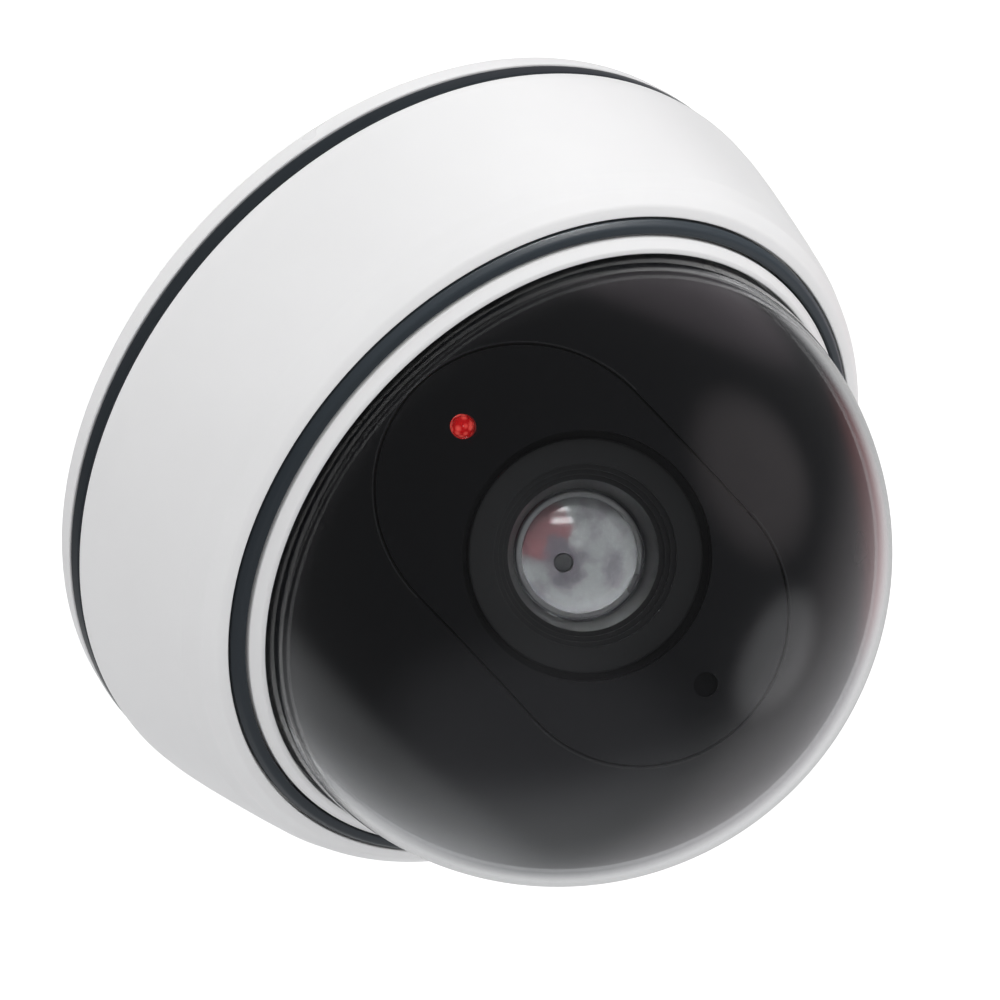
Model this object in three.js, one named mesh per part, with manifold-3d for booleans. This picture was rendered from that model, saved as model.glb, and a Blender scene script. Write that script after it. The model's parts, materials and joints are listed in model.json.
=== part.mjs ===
// A dome camera of the imitation kind: a white tapered housing on a screw-on base plate, a clear
// dome held by a quarter-turn bezel, and a black turret that carries a lens and a flashing red LED.
// Two AA cells behind a door in the base plate feed the flasher board in the turret.
//
// Millimetres, +Z up. The origin is the centre of the base plate's rear face, +Z is the dome's
// axis and points to its crown, and the lens leans from +Z towards -Y.
import * as THREE from "three";
import { mergeVertices } from "three/addons/utils/BufferGeometryUtils.js";
import Module from "manifold-3d";

const wasm = await Module();
wasm.setup();

// ---------------------------------------------------------------- driving dimensions
const BASE_R = 60.1; // widest radius, where the housing meets the rear trim ring
const DOME_Z = 38.2; // height of the dome's centre above the rear face
const DOME_R = 47.3; // outer radius of the dome
const DOME_WALL = 2.0;
const LENS_LEAN = 42.8; // degrees from the dome's axis to the lens's axis
const GAP = 0.3; // between pieces that touch

const FLOOR_TOP = 3.6; // inner face of the base plate
const RIM_TOP = 4.2; // top of the base plate's rim
const TRIM_TOP = 6.8; // top of the rear trim ring
const SPIGOT_R = 57.4; // collar on the base plate that the housing drops over

const MOUTH_R = 50.0; // inner radius of the housing's mouth
const COLLAR_R = 48.3; // outer radius of the collar that the bezel turns on
const COLLAR_BORE = 45.9;
const COLLAR_TOP = 32.3;
const MOUTH_FLOOR = 28.0;
const FLOOR_UNDER = 26.5; // underside of the mouth's floor

const LINER_R = 44.8;
const LINER_WALL = 1.5;
const FASCIA_R = 44.6;
const SLOT_R = 20.2; // round end of the liner's long opening
const SLOT_HALF = 11.6; // half the distance between the centres of its ends
const BEZEL_HOLE_R = 16.9; // round hole in the fascia for the lens bezel
const LENS_R = 8.75;
const LENS_RIM = 30.8; // height of the lens's rim above the dome's centre, along its own axis
const LENS_CROWN = 32.3;
const LENS_DOME_R = 7.9; // where the lens's flat rim meets its dome
const IRIS_LOW = 26.3; // rear of the disc behind the lens
const PUPIL = [0.5, 2, 0]; // the dark spot on that disc, which is off its centre
const LED_X = 23.9; // the LED, and its blind twin opposite, along the fascia
const LED_HOLE_R = 1.7;
const LED_R = 1.5;

const CELL_R = 7.1; // AA cell
const CELL_LENGTH = 50.4;
const CELL_X = 7.6;
const CELL_Z = 10.2;
const TUB_INNER = [30.8, 58, 17.6]; // width, length and height of the battery tub's inside
const TUB_WALL = 1.5;
const CONTACT_Y = 28.45; // middle of the sheet contacts at the tub's two ends
const SPRING_HEIGHT = 5.1;

const BEZEL_LEAD = 60; // rise of the bezel per full turn
const LUGS = 3;
const LUG_ANGLE = 100; // where the first lug sits when the bezel is home
const LUG_HALF = 5; // half its width in degrees

const ROUND = 40; // sides of a large round piece
const SMALL_ROUND = 20; // sides of a small one

// ---------------------------------------------------------------- helpers
const rad = THREE.MathUtils.degToRad;

/** A closed geometry as a manifold-3d solid. */
function solid(geometry) {
  const bare = geometry.index ? geometry.toNonIndexed() : geometry.clone();
  for (const name of ["normal", "uv"]) bare.deleteAttribute(name);
  const merged = mergeVertices(bare, 1e-4);
  const made = new wasm.Manifold(
    new wasm.Mesh({
      numProp: 3,
      vertProperties: merged.attributes.position.array,
      triVerts: new Uint32Array(merged.index.array),
    }),
  );
  return made;
}

/** A manifold-3d solid as a geometry. */
function geometryOf(body) {
  const { numProp, numVert, vertProperties, triVerts } = body.getMesh();
  const position = new Float32Array(numVert * 3);
  for (let i = 0; i < numVert; i++) {
    position.set(vertProperties.subarray(i * numProp, i * numProp + 3), i * 3);
  }
  const geometry = new THREE.BufferGeometry();
  geometry.setAttribute("position", new THREE.BufferAttribute(position, 3));
  geometry.setIndex(new THREE.BufferAttribute(triVerts, 1));
  geometry.computeVertexNormals();
  return geometry;
}

const joined = (...geometries) => geometries.map(solid).reduce((a, b) => a.add(b));
const cutFrom = (body, ...cutters) => cutters.map(solid).reduce((a, b) => a.subtract(b), body);

/** A profile of [radius, height] points turned about Z. It may run either way round. */
function turned(profile, sides = ROUND) {
  const area = profile.reduce((sum, [r, z], i) => {
    const [nextR, nextZ] = profile[(i + 1) % profile.length];
    return sum + r * nextZ - nextR * z;
  }, 0);
  const points = (area > 0 ? profile : [...profile].reverse()).map(([r, z]) => new THREE.Vector2(r, z));
  const onAxis = points[0].x === 0 && points.at(-1).x === 0;
  if (!onAxis) points.push(points[0].clone());
  return new THREE.LatheGeometry(points, sides).rotateX(Math.PI / 2);
}

const ring = (inner, outer, low, high, sides = ROUND) =>
  turned([[inner, low], [outer, low], [outer, high], [inner, high]], sides);

const rod = (radius, low, high, sides = SMALL_ROUND) =>
  new THREE.CylinderGeometry(radius, radius, high - low, sides)
    .rotateX(Math.PI / 2)
    .translate(0, 0, (low + high) / 2);

/** A box from its lowest corner to its highest. */
const block = (low, high) =>
  new THREE.BoxGeometry(...high.map((v, i) => v - low[i])).translate(
    ...high.map((v, i) => (v + low[i]) / 2),
  );

/** Points along an arc about (0, centre) from one angle above the horizon to another. */
function arc(radius, centre, from, to, steps) {
  return Array.from({ length: steps + 1 }, (_, i) => {
    const angle = rad(from + ((to - from) * i) / steps);
    const r = radius * Math.cos(angle);
    return [Math.abs(r) < 1e-9 ? 0 : r, centre + radius * Math.sin(angle)];
  });
}

/** An oblong with round ends along X, extruded from low to high. */
function oblong(halfLength, radius, low, high, curve = 12) {
  const shape = new THREE.Shape();
  shape.absarc(halfLength, 0, radius, -Math.PI / 2, Math.PI / 2);
  shape.absarc(-halfLength, 0, radius, Math.PI / 2, (3 * Math.PI) / 2);
  const options = { depth: high - low, bevelEnabled: false, curveSegments: curve };
  return new THREE.ExtrudeGeometry(shape, options).translate(0, 0, low);
}

/** A rectangular section that turns about Z and climbs as it goes, between two angles in degrees. */
function ramp([inner, outer], [low, high], from, to, steps) {
  const corners = [[inner, low], [outer, low], [outer, high], [inner, high]];
  const position = [];
  const index = [];
  for (let i = 0; i <= steps; i++) {
    const angle = from + ((to - from) * i) / steps;
    const climb = (BEZEL_LEAD * angle) / 360;
    for (const [r, z] of corners) {
      position.push(r * Math.cos(rad(angle)), r * Math.sin(rad(angle)), z + climb);
    }
    for (let k = 0; k < 4 && i < steps; k++) {
      const a = i * 4 + k;
      const b = i * 4 + ((k + 1) % 4);
      index.push(a, a + 4, b, b, a + 4, b + 4);
    }
  }
  const last = steps * 4;
  index.push(0, 1, 2, 0, 2, 3, last, last + 2, last + 1, last, last + 3, last + 2);
  const geometry = new THREE.BufferGeometry();
  geometry.setAttribute("position", new THREE.Float32BufferAttribute(position, 3));
  geometry.setIndex(index);
  return geometry;
}

/** A round wire along a smooth curve through points. */
function wire(points, radius, steps, sides = 8) {
  const section = new THREE.Shape();
  for (let i = 0; i < sides; i++) {
    const angle = (2 * Math.PI * i) / sides;
    section[i ? "lineTo" : "moveTo"](radius * Math.cos(angle), radius * Math.sin(angle));
  }
  const path = new THREE.CatmullRomCurve3(points.map((p) => new THREE.Vector3(...p)));
  return new THREE.ExtrudeGeometry(section, { extrudePath: path, steps, bevelEnabled: false });
}

/** A pan-head screw whose head's underside is at z = 0 and whose shank points to +Z. */
function screw(shank, length, head, headHeight) {
  const tip = 1;
  return turned(
    [
      [0, -headHeight],
      [head * 0.7, -headHeight],
      [head, -headHeight * 0.4],
      [head, 0],
      [shank, 0],
      [shank, length - tip],
      [0, length],
    ],
    12,
  );
}

/** The spots of n pieces spread evenly round the Z axis. */
const around = (n, radius, first = 0) =>
  Array.from({ length: n }, (_, i) => {
    const angle = rad(first + (360 * i) / n);
    return { x: radius * Math.cos(angle), y: radius * Math.sin(angle), angle };
  });

// ---------------------------------------------------------------- materials
const material = (color, roughness, metalness = 0, extra = {}) =>
  new THREE.MeshStandardMaterial({ color, roughness, metalness, ...extra });
const clear = { transparent: true, opacity: 0.3 };

const MATERIALS = {
  white: material(0xe9eaec, 0.3),
  trim: material(0x24282c, 0.35),
  black: material(0x17181a, 0.4),
  dome: material(0xf4f6f7, 0.05, 0, clear),
  lens: material(0xe8ecee, 0.05, 0, clear),
  rubber: material(0x1c1c1d, 0.8),
  steel: material(0xb8babd, 0.3, 1),
  brass: material(0xc9a85a, 0.35, 1),
  led: material(0xd3161b, 0.15, 0, { transparent: true, opacity: 0.8 }),
  board: material(0x1f6b3a, 0.5),
  iris: material(0x6d6f72, 0.5),
  cell: material(0x2f5f8f, 0.35, 0.2),
  redWire: material(0xb3221f, 0.5),
  blackWire: material(0x1a1a1a, 0.5),
  nylon: material(0xe4e0d4, 0.5),
};

const camera = new THREE.Group();
// The lens's own frame: its origin is the dome's centre, its Z is the lens's axis and its X runs
// along the fascia towards the dome's rim.
const lensFrame = new THREE.Group();
lensFrame.position.z = DOME_Z;
lensFrame.rotation.set(0, rad(LENS_LEAN), -Math.PI / 2, "ZYX");
lensFrame.updateMatrix();
camera.add(lensFrame);

/** Adds a geometry, or a manifold-3d solid, to a group as one named mesh. */
function add(name, shape, look, group = camera) {
  const geometry = shape.isBufferGeometry ? shape : geometryOf(shape);
  const mesh = new THREE.Mesh(geometry, MATERIALS[look]);
  mesh.name = name;
  group.add(mesh);
  return mesh;
}

const inLensFrame = (geometry) => geometry.applyMatrix4(lensFrame.matrix);

// ---------------------------------------------------------------- base plate and its door
const CASE_SCREW_R = 51.5; // pitch radius of the screws that close the case
const caseScrews = around(4, CASE_SCREW_R, 45);
const KEYHOLE_R = 40; // pitch radius of the two mounting keyholes
const KEYHOLE_ENTRY_R = 4.5;
const KEYHOLE_SLOT_R = 2.6;
const DOOR = { halfX: 17.2, low: GAP, top: 2.0, hingeY: 31.0, hingeZ: 1.4, endY: 31.0 };
const SWITCH_Y = -40;
const SWITCH_TRAVEL = 3;

/** A keyhole: a round entry and an arc-shaped slot that the plate is turned along. */
function keyholeCutters(side) {
  const entry = rod(KEYHOLE_ENTRY_R, -1, FLOOR_TOP + 1).translate(side * KEYHOLE_R, 0, 0);
  const steps = 8;
  const slotAngle = 22;
  const shape = new THREE.Shape();
  for (const [radius, from, to] of [
    [KEYHOLE_R + KEYHOLE_SLOT_R, 0, slotAngle],
    [KEYHOLE_R - KEYHOLE_SLOT_R, slotAngle, 0],
  ]) {
    for (let i = 0; i <= steps; i++) {
      const angle = rad(from + ((to - from) * i) / steps) + (side < 0 ? Math.PI : 0);
      const first = radius > KEYHOLE_R && i === 0;
      shape[first ? "moveTo" : "lineTo"](radius * Math.cos(angle), radius * Math.sin(angle));
    }
  }
  const slot = new THREE.ExtrudeGeometry(shape, { depth: FLOOR_TOP + 2, bevelEnabled: false });
  return [entry, slot.translate(0, 0, -1)];
}

function basePlate() {
  const plate = solid(
    turned([
      [0, 0],
      [58.2, 0],
      [59.5, 1.2],
      [BASE_R - 0.1, RIM_TOP],
      [SPIGOT_R, RIM_TOP],
      [SPIGOT_R, 9.5],
      [SPIGOT_R - 2, 9.5],
      [SPIGOT_R - 2, FLOOR_TOP],
      [0, FLOOR_TOP],
    ]),
  );
  const [tubX, tubY] = TUB_INNER;
  const recessTop = DOOR.top + GAP;
  const cutters = [
    block([-tubX / 2, -tubY / 2, -1], [tubX / 2, tubY / 2, FLOOR_TOP + 1]),
    block([-DOOR.halfX - 0.4, -DOOR.endY - 0.5, -1], [DOOR.halfX + 0.4, DOOR.hingeY - 1.4, recessTop]),
    block([-15.6, DOOR.hingeY - 1.5, -1], [15.6, DOOR.hingeY + 1.7, recessTop + 0.3]),
    rod(1.05, -18, 18, 12).rotateY(Math.PI / 2).translate(0, DOOR.hingeY, DOOR.hingeZ),
    block([-3.1, SWITCH_Y - 1.8, -1], [3.1, SWITCH_Y + 1.8, FLOOR_TOP + 1]),
    ...keyholeCutters(1),
    ...keyholeCutters(-1),
    ...caseScrews.flatMap(({ x, y }) => [
      rod(1.9, -1, FLOOR_TOP + 1, 12).translate(x, y, 0),
      rod(3.4, -1, 1.9, 12).translate(x, y, 0),
    ]),
    ...[-1, 1].map((s) => rod(1.4, -1, FLOOR_TOP + 1, 12).translate(s * 23, 0, 0)),
    ...[-1, 1].map((s) => rod(2.4, -1, 1.5, 12).translate(s * 23, 0, 0)),
  ];
  return cutFrom(plate, ...cutters);
}

function batteryDoor() {
  const { halfX, low, top, hingeY, hingeZ, endY } = DOOR;
  const knuckle = 1.1;
  const plate = joined(
    block([-halfX, -endY, low], [halfX, hingeY - 2, top]),
    block([-15.2, hingeY - 2.5, low], [15.2, hingeY, top]),
    rod(knuckle, -15.2, 15.2, 12).rotateY(Math.PI / 2).translate(0, hingeY, hingeZ),
    rod(0.7, -17, 17, 12).rotateY(Math.PI / 2).translate(0, hingeY, hingeZ),
  );
  const nailNotch = block([-6, -endY - 1, low - 1], [6, -endY + 2.2, low + 0.8]);
  return cutFrom(plate, nailNotch);
}

// ---------------------------------------------------------------- housing
const TURNTABLE_SCREW_R = 50.2;
const turntableScrews = around(3, TURNTABLE_SCREW_R);
const TURNTABLE_TOP = 24.0;
const KEY = { angle: 90, halfWidth: 1.2, inner: 47.2, outer: 48.0, top: 34.0 };

/** The dome's two keys, or with a margin the notches that they fill. */
function keyBlocks(margin, low, high) {
  return [0, 180].map((turn) =>
    block(
      [KEY.inner - margin, -KEY.halfWidth - margin, low],
      [KEY.outer + margin, KEY.halfWidth + margin, high],
    ).rotateZ(rad(KEY.angle + turn)),
  );
}

function housingShell() {
  const shell = solid(
    turned([
      [BASE_R, TRIM_TOP + GAP],
      [59.3, 13.2],
      [58.1, 19.2],
      [56.8, 25.2],
      [55.9, 29.2],
      [55.1, 31.8],
      [54, 33.6],
      [52.7, 34.6],
      [51.9, 34.8],
      [51.9, 33.1],
      [MOUTH_R, 33.1],
      [MOUTH_R, MOUTH_FLOOR],
      [COLLAR_R, MOUTH_FLOOR],
      [COLLAR_R, COLLAR_TOP],
      [47.1, COLLAR_TOP],
      [47.1, 31.3],
      [COLLAR_BORE, 31.3],
      [COLLAR_BORE, FLOOR_UNDER],
      [51.6, FLOOR_UNDER],
      [52.3, 31.0],
      [53.3, 31.0],
      [54.9, 25.2],
      [56.2, 19.2],
      [57.4, 13.2],
      [57.8, TRIM_TOP + GAP],
    ]),
  );
  const bosses = caseScrews.map(({ x, y }) => rod(3.2, FLOOR_TOP + GAP, 27, 12).translate(x, y, 0));
  const ears = turntableScrews.map(({ x, y }) => rod(2.5, TURNTABLE_TOP + GAP, 27, 12).translate(x, y, 0));
  const keys = keyBlocks(0, COLLAR_TOP - 0.6, KEY.top);
  const pilots = [
    ...caseScrews.map(({ x, y }) => rod(1.8, 0, 15, 12).translate(x, y, 0)),
    ...turntableScrews.map(({ x, y }) => rod(1.3, 20, 27.5, 12).translate(x, y, 0)),
  ];
  const slots = around(LUGS, 0, LUG_ANGLE).map(({ angle }) =>
    ramp([47.1, COLLAR_R + 0.3], [28.6, 31.6], -LUG_HALF - 1.2, 26, 8).rotateZ(angle),
  );
  const whole = [...bosses, ...ears, ...keys].map(solid).reduce((a, b) => a.add(b), shell);
  return cutFrom(whole, ...pilots, ...slots);
}

const turntableRing = () =>
  cutFrom(
    joined(
      ring(44.5, 47.2, 22.2, TURNTABLE_TOP - 0.1),
      ...turntableScrews.map(({ x, y }) => rod(2.9, 22.2, TURNTABLE_TOP - 0.1, 12).translate(x, y, 0)),
      ...turntableScrews.map(({ angle }) =>
        block([45.5, -2.6, 22.2], [50, 2.6, TURNTABLE_TOP - 0.1]).rotateZ(angle),
      ),
    ),
    ...turntableScrews.map(({ x, y }) => rod(1.4, 20, 26, 12).translate(x, y, 0)),
  );

// ---------------------------------------------------------------- battery tub and contacts
function batteryTub() {
  const [width, length, top] = TUB_INNER;
  const low = FLOOR_TOP + GAP;
  const outer = block(
    [-width / 2 - TUB_WALL, -length / 2 - TUB_WALL, low],
    [width / 2 + TUB_WALL, length / 2 + TUB_WALL, top + TUB_WALL],
  );
  const tabs = [-1, 1].map((s) => rod(4, low, low + 2.4, 12).translate(s * 23, 0, 0));
  const webs = block([-23, -4, low], [23, 4, low + 2.4]);
  const inner = block([-width / 2, -length / 2, low - 1], [width / 2, length / 2, top]);
  const holes = [-1, 1].map((s) => rod(1.4, low - 1, low + 4, 12).translate(s * 23, 0, 0));
  const tabSlots = [-1, 1].map((s) =>
    block([s * CELL_X - 2, CONTACT_Y - 0.6, top - 1], [s * CELL_X + 2, CONTACT_Y + 0.6, top + 3]),
  );
  return cutFrom(joined(outer, ...tabs, webs), inner, ...holes, ...tabSlots);
}

const cell = () =>
  turned(
    [
      [0, 0],
      [CELL_R - 0.4, 0],
      [CELL_R, 0.4],
      [CELL_R, CELL_LENGTH - 1.7],
      [CELL_R - 0.5, CELL_LENGTH - 1.2],
      [2.7, CELL_LENGTH - 1.2],
      [2.7, CELL_LENGTH],
      [0, CELL_LENGTH],
    ],
    SMALL_ROUND,
  );

/** A sheet contact standing across the tub's end, with the tab it is soldered by. */
function contactPlate(left, right, tabX) {
  const half = 0.25;
  const plate = block([left, -half, 4.6], [right, half, 16.6]);
  if (tabX === undefined) return plate;
  return joined(plate, block([tabX - 1.5, -half, 16], [tabX + 1.5, half, 20.2]));
}

/** A conical contact spring from z = 0 to its height. */
function contactSpring(height) {
  const turns = 3;
  const steps = 30;
  const points = Array.from({ length: steps + 1 }, (_, i) => {
    const share = i / steps;
    const angle = 2 * Math.PI * turns * share;
    const radius = 4.6 - 2.2 * share;
    return [radius * Math.cos(angle), radius * Math.sin(angle), 0.4 + (height - 0.8) * share];
  });
  return wire(points, 0.35, steps, 5);
}

// ---------------------------------------------------------------- turret
const TURRET_SCREW_R = 41.2;
const turretScrews = around(3, TURRET_SCREW_R, 30);
const PLATE_TOP = 26.2; // top of the turntable
const PLATE_UNDER = 24.2;

function turntable() {
  const plate = turned([
    [12, PLATE_UNDER],
    [46.8, PLATE_UNDER],
    [46.8, PLATE_TOP],
    [42.4, PLATE_TOP],
    [42.4, PLATE_TOP + 1.6],
    [41, PLATE_TOP + 1.6],
    [41, PLATE_TOP],
    [12, PLATE_TOP],
  ]);
  const clearances = turretScrews.flatMap(({ x, y }) => [
    rod(1.4, 20, 30, 12).translate(x, y, 0),
    rod(3.1, PLATE_TOP, 30, 12).translate(x, y, 0),
  ]);
  return cutFrom(solid(plate), ...clearances);
}

/** The profile of half a spherical shell on a skirt that reaches down to low. */
const shellProfile = (outer, inner, steps, low) => [
  [outer, low],
  ...arc(outer, DOME_Z, 0, 90, steps),
  ...arc(inner, DOME_Z, 90, 0, steps),
  [inner, low],
];

function turretLiner() {
  const skirt = PLATE_TOP + GAP;
  const shell = solid(turned(shellProfile(LINER_R, LINER_R - LINER_WALL, 9, skirt)));
  const bosses = turretScrews.map(({ x, y }) => rod(2.7, skirt, 34, 12).translate(x, y, 0));
  const pilots = turretScrews.map(({ x, y }) => rod(1.3, skirt - 1, 32.5, 12).translate(x, y, 0));
  const slot = inLensFrame(oblong(SLOT_HALF, SLOT_R, 22, 60));
  const whole = bosses.map(solid).reduce((a, b) => a.add(b), shell);
  return cutFrom(whole, slot, ...pilots);
}

/** The plate that fills the liner's opening, in the lens's own frame. */
function fascia() {
  const outline = solid(oblong(SLOT_HALF, SLOT_R - GAP, 22, 60));
  const ball = solid(new THREE.SphereGeometry(FASCIA_R, 40, 28).rotateX(Math.PI / 2));
  const inside = solid(new THREE.SphereGeometry(FASCIA_R - 2.6, 28, 20).rotateX(Math.PI / 2));
  const sockets = [-1, 1].map((s) => rod(4, 30.5, 36).translate(s * LED_X, 0, 0));
  const plate = outline
    .intersect(ball)
    .subtract(inside)
    .add(solid(sockets[0]).intersect(ball))
    .add(solid(sockets[1]).intersect(ball));
  return cutFrom(
    plate,
    rod(BEZEL_HOLE_R, 20, 60, ROUND),
    rod(LED_HOLE_R, 20, 60).translate(LED_X, 0, 0),
    rod(2.3, 20, 33.5).translate(LED_X, 0, 0),
    rod(LED_HOLE_R, 35.8, 60).translate(-LED_X, 0, 0),
  );
}

/** A flat ring sunk in the fascia, and the steps and cone that lead down from it to the lens. */
const lensBezel = () =>
  turned(
    [
      [9.05, 29.7],
      [12.6, 29.7],
      [12.6, 36.2],
      [18.6, 36.2],
      [18.6, 37],
      [15.9, 37],
      [15.9, 39.2],
      [12.4, 38.9],
      [12.4, 38.1],
      [11.7, 38],
      [11.7, 37.2],
      [11, 37.1],
      [11, 36.3],
      [10.3, 36.2],
      [9.05, 31],
    ],
    36,
  );

function frontLens() {
  const bulge = LENS_CROWN - LENS_RIM;
  const radius = (LENS_DOME_R ** 2 + bulge ** 2) / (2 * bulge);
  const edge = THREE.MathUtils.radToDeg(Math.acos(LENS_DOME_R / radius));
  return turned(
    [
      [0, 27.8],
      [10.6, 27.8],
      [10.6, 29.4],
      [LENS_R, 29.4],
      [LENS_R, LENS_RIM],
      ...arc(radius, LENS_CROWN - radius, edge, 90, 7),
    ],
    28,
  );
}

const lensBarrel = () =>
  turned(
    [[0, 19], [12.3, 19], [12.3, 29.4], [10.9, 29.4], [10.9, 26], [10, 25.4], [10, 20.5], [0, 20.5]],
    28,
  );

const led = () =>
  turned([[0, 32.2], [1.95, 32.2], [1.95, 33.2], [LED_R, 33.2], ...arc(LED_R, 36, 0, 90, 4)], 16);

// ---------------------------------------------------------------- dome and bezel
function domeCover() {
  const flangeLow = COLLAR_TOP + GAP;
  const cover = turned([
    [48.2, flangeLow],
    [48.2, 34.7],
    [DOME_R, 34.7],
    ...arc(DOME_R, DOME_Z, 0, 90, 10),
    ...arc(DOME_R - DOME_WALL, DOME_Z, 90, 0, 10),
    [DOME_R - DOME_WALL, flangeLow],
  ]);
  return cutFrom(solid(cover), ...keyBlocks(GAP, flangeLow - 1, KEY.top + GAP));
}

function bezelRing() {
  const band = turned([
    [48.6, 28.3],
    [49.5, 28.3],
    [49.5, 35.9],
    [49.1, 36.5],
    [48.3, 37.5],
    [47.9, 37.7],
    [47.6, 37.4],
    [47.6, 35.1],
    [48.6, 35.1],
  ]);
  const lugs = around(LUGS, 0, LUG_ANGLE).map(({ angle }) =>
    ramp([47.4, 49.0], [28.9, 31.3], -LUG_HALF, LUG_HALF, 3).rotateZ(angle),
  );
  return joined(band, ...lugs);
}

// ---------------------------------------------------------------- assembly
add("base_plate", basePlate(), "white");
add("rear_trim_ring", ring(57.7, BASE_R - 0.1, RIM_TOP + GAP, TRIM_TOP), "trim");
add("housing_shell", housingShell(), "white");
add(
  "front_trim_ring",
  turned([[49.8, 33.4], [51.6, 33.4], [51.6, 34.9], [51.1, 35.5], [50.5, 35.9], [49.8, 36.1]]),
  "trim",
);
add("battery_door", batteryDoor(), "white");
add("battery_tub", batteryTub(), "black");
add("turntable_ring", turntableRing(), "black");

caseScrews.forEach(({ x, y }, i) =>
  add(`case_screw_${i + 1}`, screw(1.5, 12, 3, 1.4).translate(x, y, 1.6), "steel"),
);
[-1, 1].forEach((s, i) =>
  add(`tub_screw_${i + 1}`, screw(1.1, 5, 2.1, 1.1).translate(s * 23, 0, 1.2), "steel"),
);
turntableScrews.forEach(({ x, y }, i) =>
  add(`turntable_screw_${i + 1}`, screw(1.05, 5.3, 2.1, 1.3).translate(x, y, 21.9), "steel"),
);

[1, -1].forEach((s, i) => {
  const body = cell().rotateX(-s * (Math.PI / 2));
  const end = CONTACT_Y - 0.55;
  add(`cell_${i + 1}`, body.translate(s * CELL_X, s * (end - CELL_LENGTH), CELL_Z), "cell");
  const spring = contactSpring(SPRING_HEIGHT).rotateX(-s * (Math.PI / 2));
  add(`contact_spring_${i + 1}`, spring.translate(s * CELL_X, -s * end, CELL_Z), "steel");
});
add("contact_positive", contactPlate(1.2, 14, CELL_X), "steel").geometry.translate(0, CONTACT_Y, 0);
add("contact_negative", contactPlate(-14, -1.2, -CELL_X), "steel").geometry.translate(0, CONTACT_Y, 0);
add("contact_link", contactPlate(-14, 14), "steel").geometry.translate(0, -CONTACT_Y, 0);

const BOARD = { x: 11, low: -16, high: 14, under: TUB_INNER[2] + TUB_WALL + GAP, thick: 1.2 };
const boardTop = BOARD.under + BOARD.thick;
add(
  "flasher_board",
  block([-BOARD.x, BOARD.low, BOARD.under], [BOARD.x, BOARD.high, boardTop]),
  "board",
);
add("flasher_chip", block([-6.5, -8, boardTop + GAP], [-1.5, -4, boardTop + 1.5]), "black");
add("timing_capacitor", rod(1.4, -2.6, 2.6, 12).rotateX(Math.PI / 2).translate(6, 6, boardTop + 1.75), "black");
add("led_resistor", rod(0.8, -2.6, 2.6, 12).rotateY(Math.PI / 2).translate(-5, 6, boardTop + 1.15), "nylon");

const switchTop = 9;
add(
  "switch_body",
  cutFrom(
    solid(block([-6, SWITCH_Y - 3.2, FLOOR_TOP + GAP], [6, SWITCH_Y + 3.2, switchTop])),
    block([-4.7, SWITCH_Y - 2.1, 3], [4.7, SWITCH_Y + 2.1, 6.6]),
  ),
  "black",
);
add(
  "switch_slider",
  joined(
    block([-2.6, SWITCH_Y - 1.4, 0.5], [-0.4, SWITCH_Y + 1.4, 5]),
    block([-2.6 - 1.4, SWITCH_Y - 1.7, 4.2], [-0.4 + 1.4, SWITCH_Y + 1.7, 6.2]),
  ),
  "black",
);

const wireZ = boardTop + 0.9;
const wires = {
  lead_positive: [[CELL_X, CONTACT_Y, 20.9], [7, 24, 21.4], [5, 17, 21.8], [4, 11, wireZ]],
  lead_negative: [[-CELL_X, CONTACT_Y, 20.9], [-7, 24, 21.4], [-5, 17, 21.8], [-4, 11, wireZ]],
  switch_lead_1: [[3, SWITCH_Y, 9.8], [4, -36, 15], [5, -31, 20.6], [5, -20, 21.2], [4, -12, wireZ]],
  switch_lead_2: [[-3, SWITCH_Y, 9.8], [-4, -36, 15], [-5, -31, 20.6], [-5, -20, 21.2], [-4, -12, wireZ]],
  led_tail_red: [[4, 1, wireZ], [2.4, 0.6, 22], [1, 0, 22.8], [0.8, 0, 24]],
  led_tail_black: [[-4, 1, wireZ], [-2.4, 0.6, 22], [-1, 0, 22.8], [-0.8, 0, 24]],
};
for (const [name, points] of Object.entries(wires)) {
  add(name, wire(points, 0.5, 16, 6), /positive|red|_1/.test(name) ? "redWire" : "blackWire");
}

add("turntable", turntable(), "nylon");
add("turret_liner", turretLiner(), "black");
turretScrews.forEach(({ x, y }, i) =>
  add(`turret_screw_${i + 1}`, screw(1.05, 7, 2.1, 1.3).translate(x, y, PLATE_UNDER - GAP), "steel"),
);
add("fascia", fascia(), "black", lensFrame);
add("lens_bezel", lensBezel(), "black", lensFrame);
add("front_lens", frontLens(), "lens", lensFrame);
add("lens_barrel", lensBarrel(), "black", lensFrame);
add(
  "iris_disc",
  cutFrom(solid(rod(10.6, IRIS_LOW, IRIS_LOW + 1.2, 28)), rod(1.5, 20, 40, 16).translate(...PUPIL)),
  "iris",
  lensFrame,
);
add("pupil", rod(1.2, IRIS_LOW - 0.6, IRIS_LOW + 0.7, 16).translate(...PUPIL), "black", lensFrame);
add("led", led().translate(LED_X, 0, 0), "led", lensFrame);
add("led_retainer", ring(1.8, 4, 28.9, 30.2, SMALL_ROUND).translate(LED_X, 0, 0), "nylon", lensFrame);
for (const [name, side] of [["led_lead_red", 1], ["led_lead_black", -1]]) {
  const tail = new THREE.Vector3(LED_X, side * 0.8, 31.8).applyMatrix4(lensFrame.matrix);
  const bend = new THREE.Vector3(LED_X, side * 0.8, 27).applyMatrix4(lensFrame.matrix);
  const points = [[side * 0.8, 0, 24.6], [side * 0.8, -3, 29], [side * 0.8, -16, 33]];
  points.push(bend.toArray(), tail.toArray());
  add(name, wire(points, 0.5, 24, 6), side > 0 ? "redWire" : "blackWire");
}

add("dome_cover", domeCover(), "dome");
add("dome_seal", ring(46.1, 46.8, 31.6, 32.3), "rubber");
add("bezel_ring", bezelRing(), "white");

export default camera;
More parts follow.
